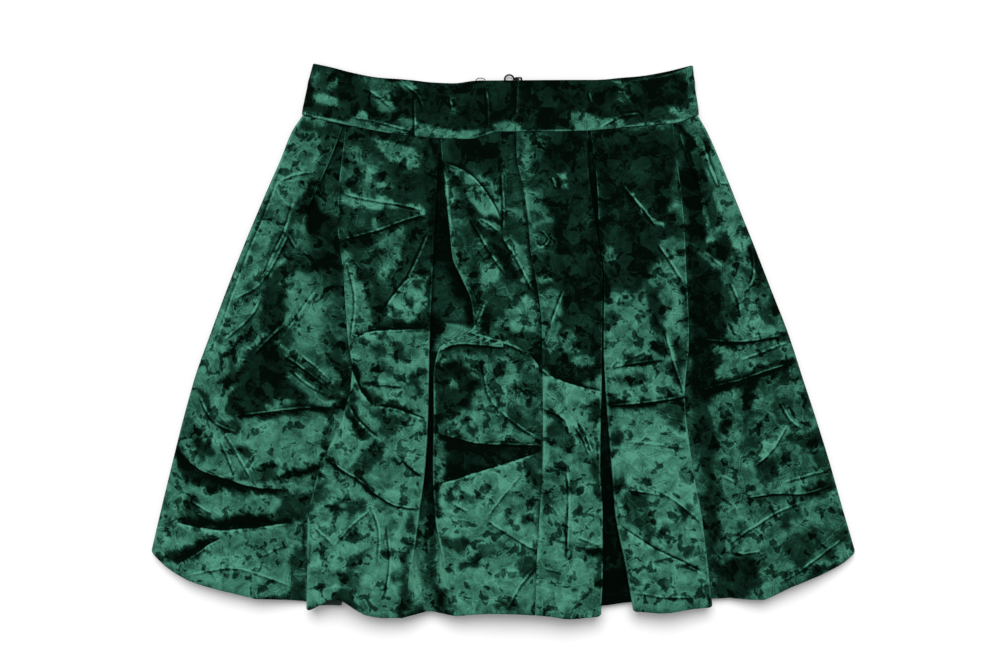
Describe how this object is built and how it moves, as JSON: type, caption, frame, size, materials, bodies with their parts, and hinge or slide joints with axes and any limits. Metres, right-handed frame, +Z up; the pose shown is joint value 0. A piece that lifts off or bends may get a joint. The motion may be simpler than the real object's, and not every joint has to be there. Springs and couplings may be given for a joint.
{
  "type": "pleated skater skirt",
  "caption": "Short flared skirt in crushed velvet, with inverted pleats below a shaped waistband and a back zip, laid flat with its back upwards.",
  "frame": {"origin": "on the surface that the skirt lies on, below the middle of its box", "axes": "+X across the skirt to the right as it is seen, +Y towards the waist, +Z up from the surface, out of the skirt's back"},
  "size_m": [0.5974, 0.469, 0.0256],
  "materials": {
    "velvet": "crushed velvet pile, bright where it is brushed over and nearly black where it stands up",
    "zip_tape": "woven tape with a nylon coil, matte",
    "blackened_steel": "blackened wire, satin",
    "thread": "twisted thread, matte"
  },
  "bodies": {
    "root": {"skirt_front": "velvet", "skirt_back_left": "velvet", "skirt_back_right": "velvet", "waistband_front": "velvet", "waistband_back_left": "velvet", "waistband_back_right": "velvet", "zip": "zip_tape", "eye": "blackened_steel", "hook": "blackened_steel", "hanger_loop": "thread"}
  },
  "joints": []
}
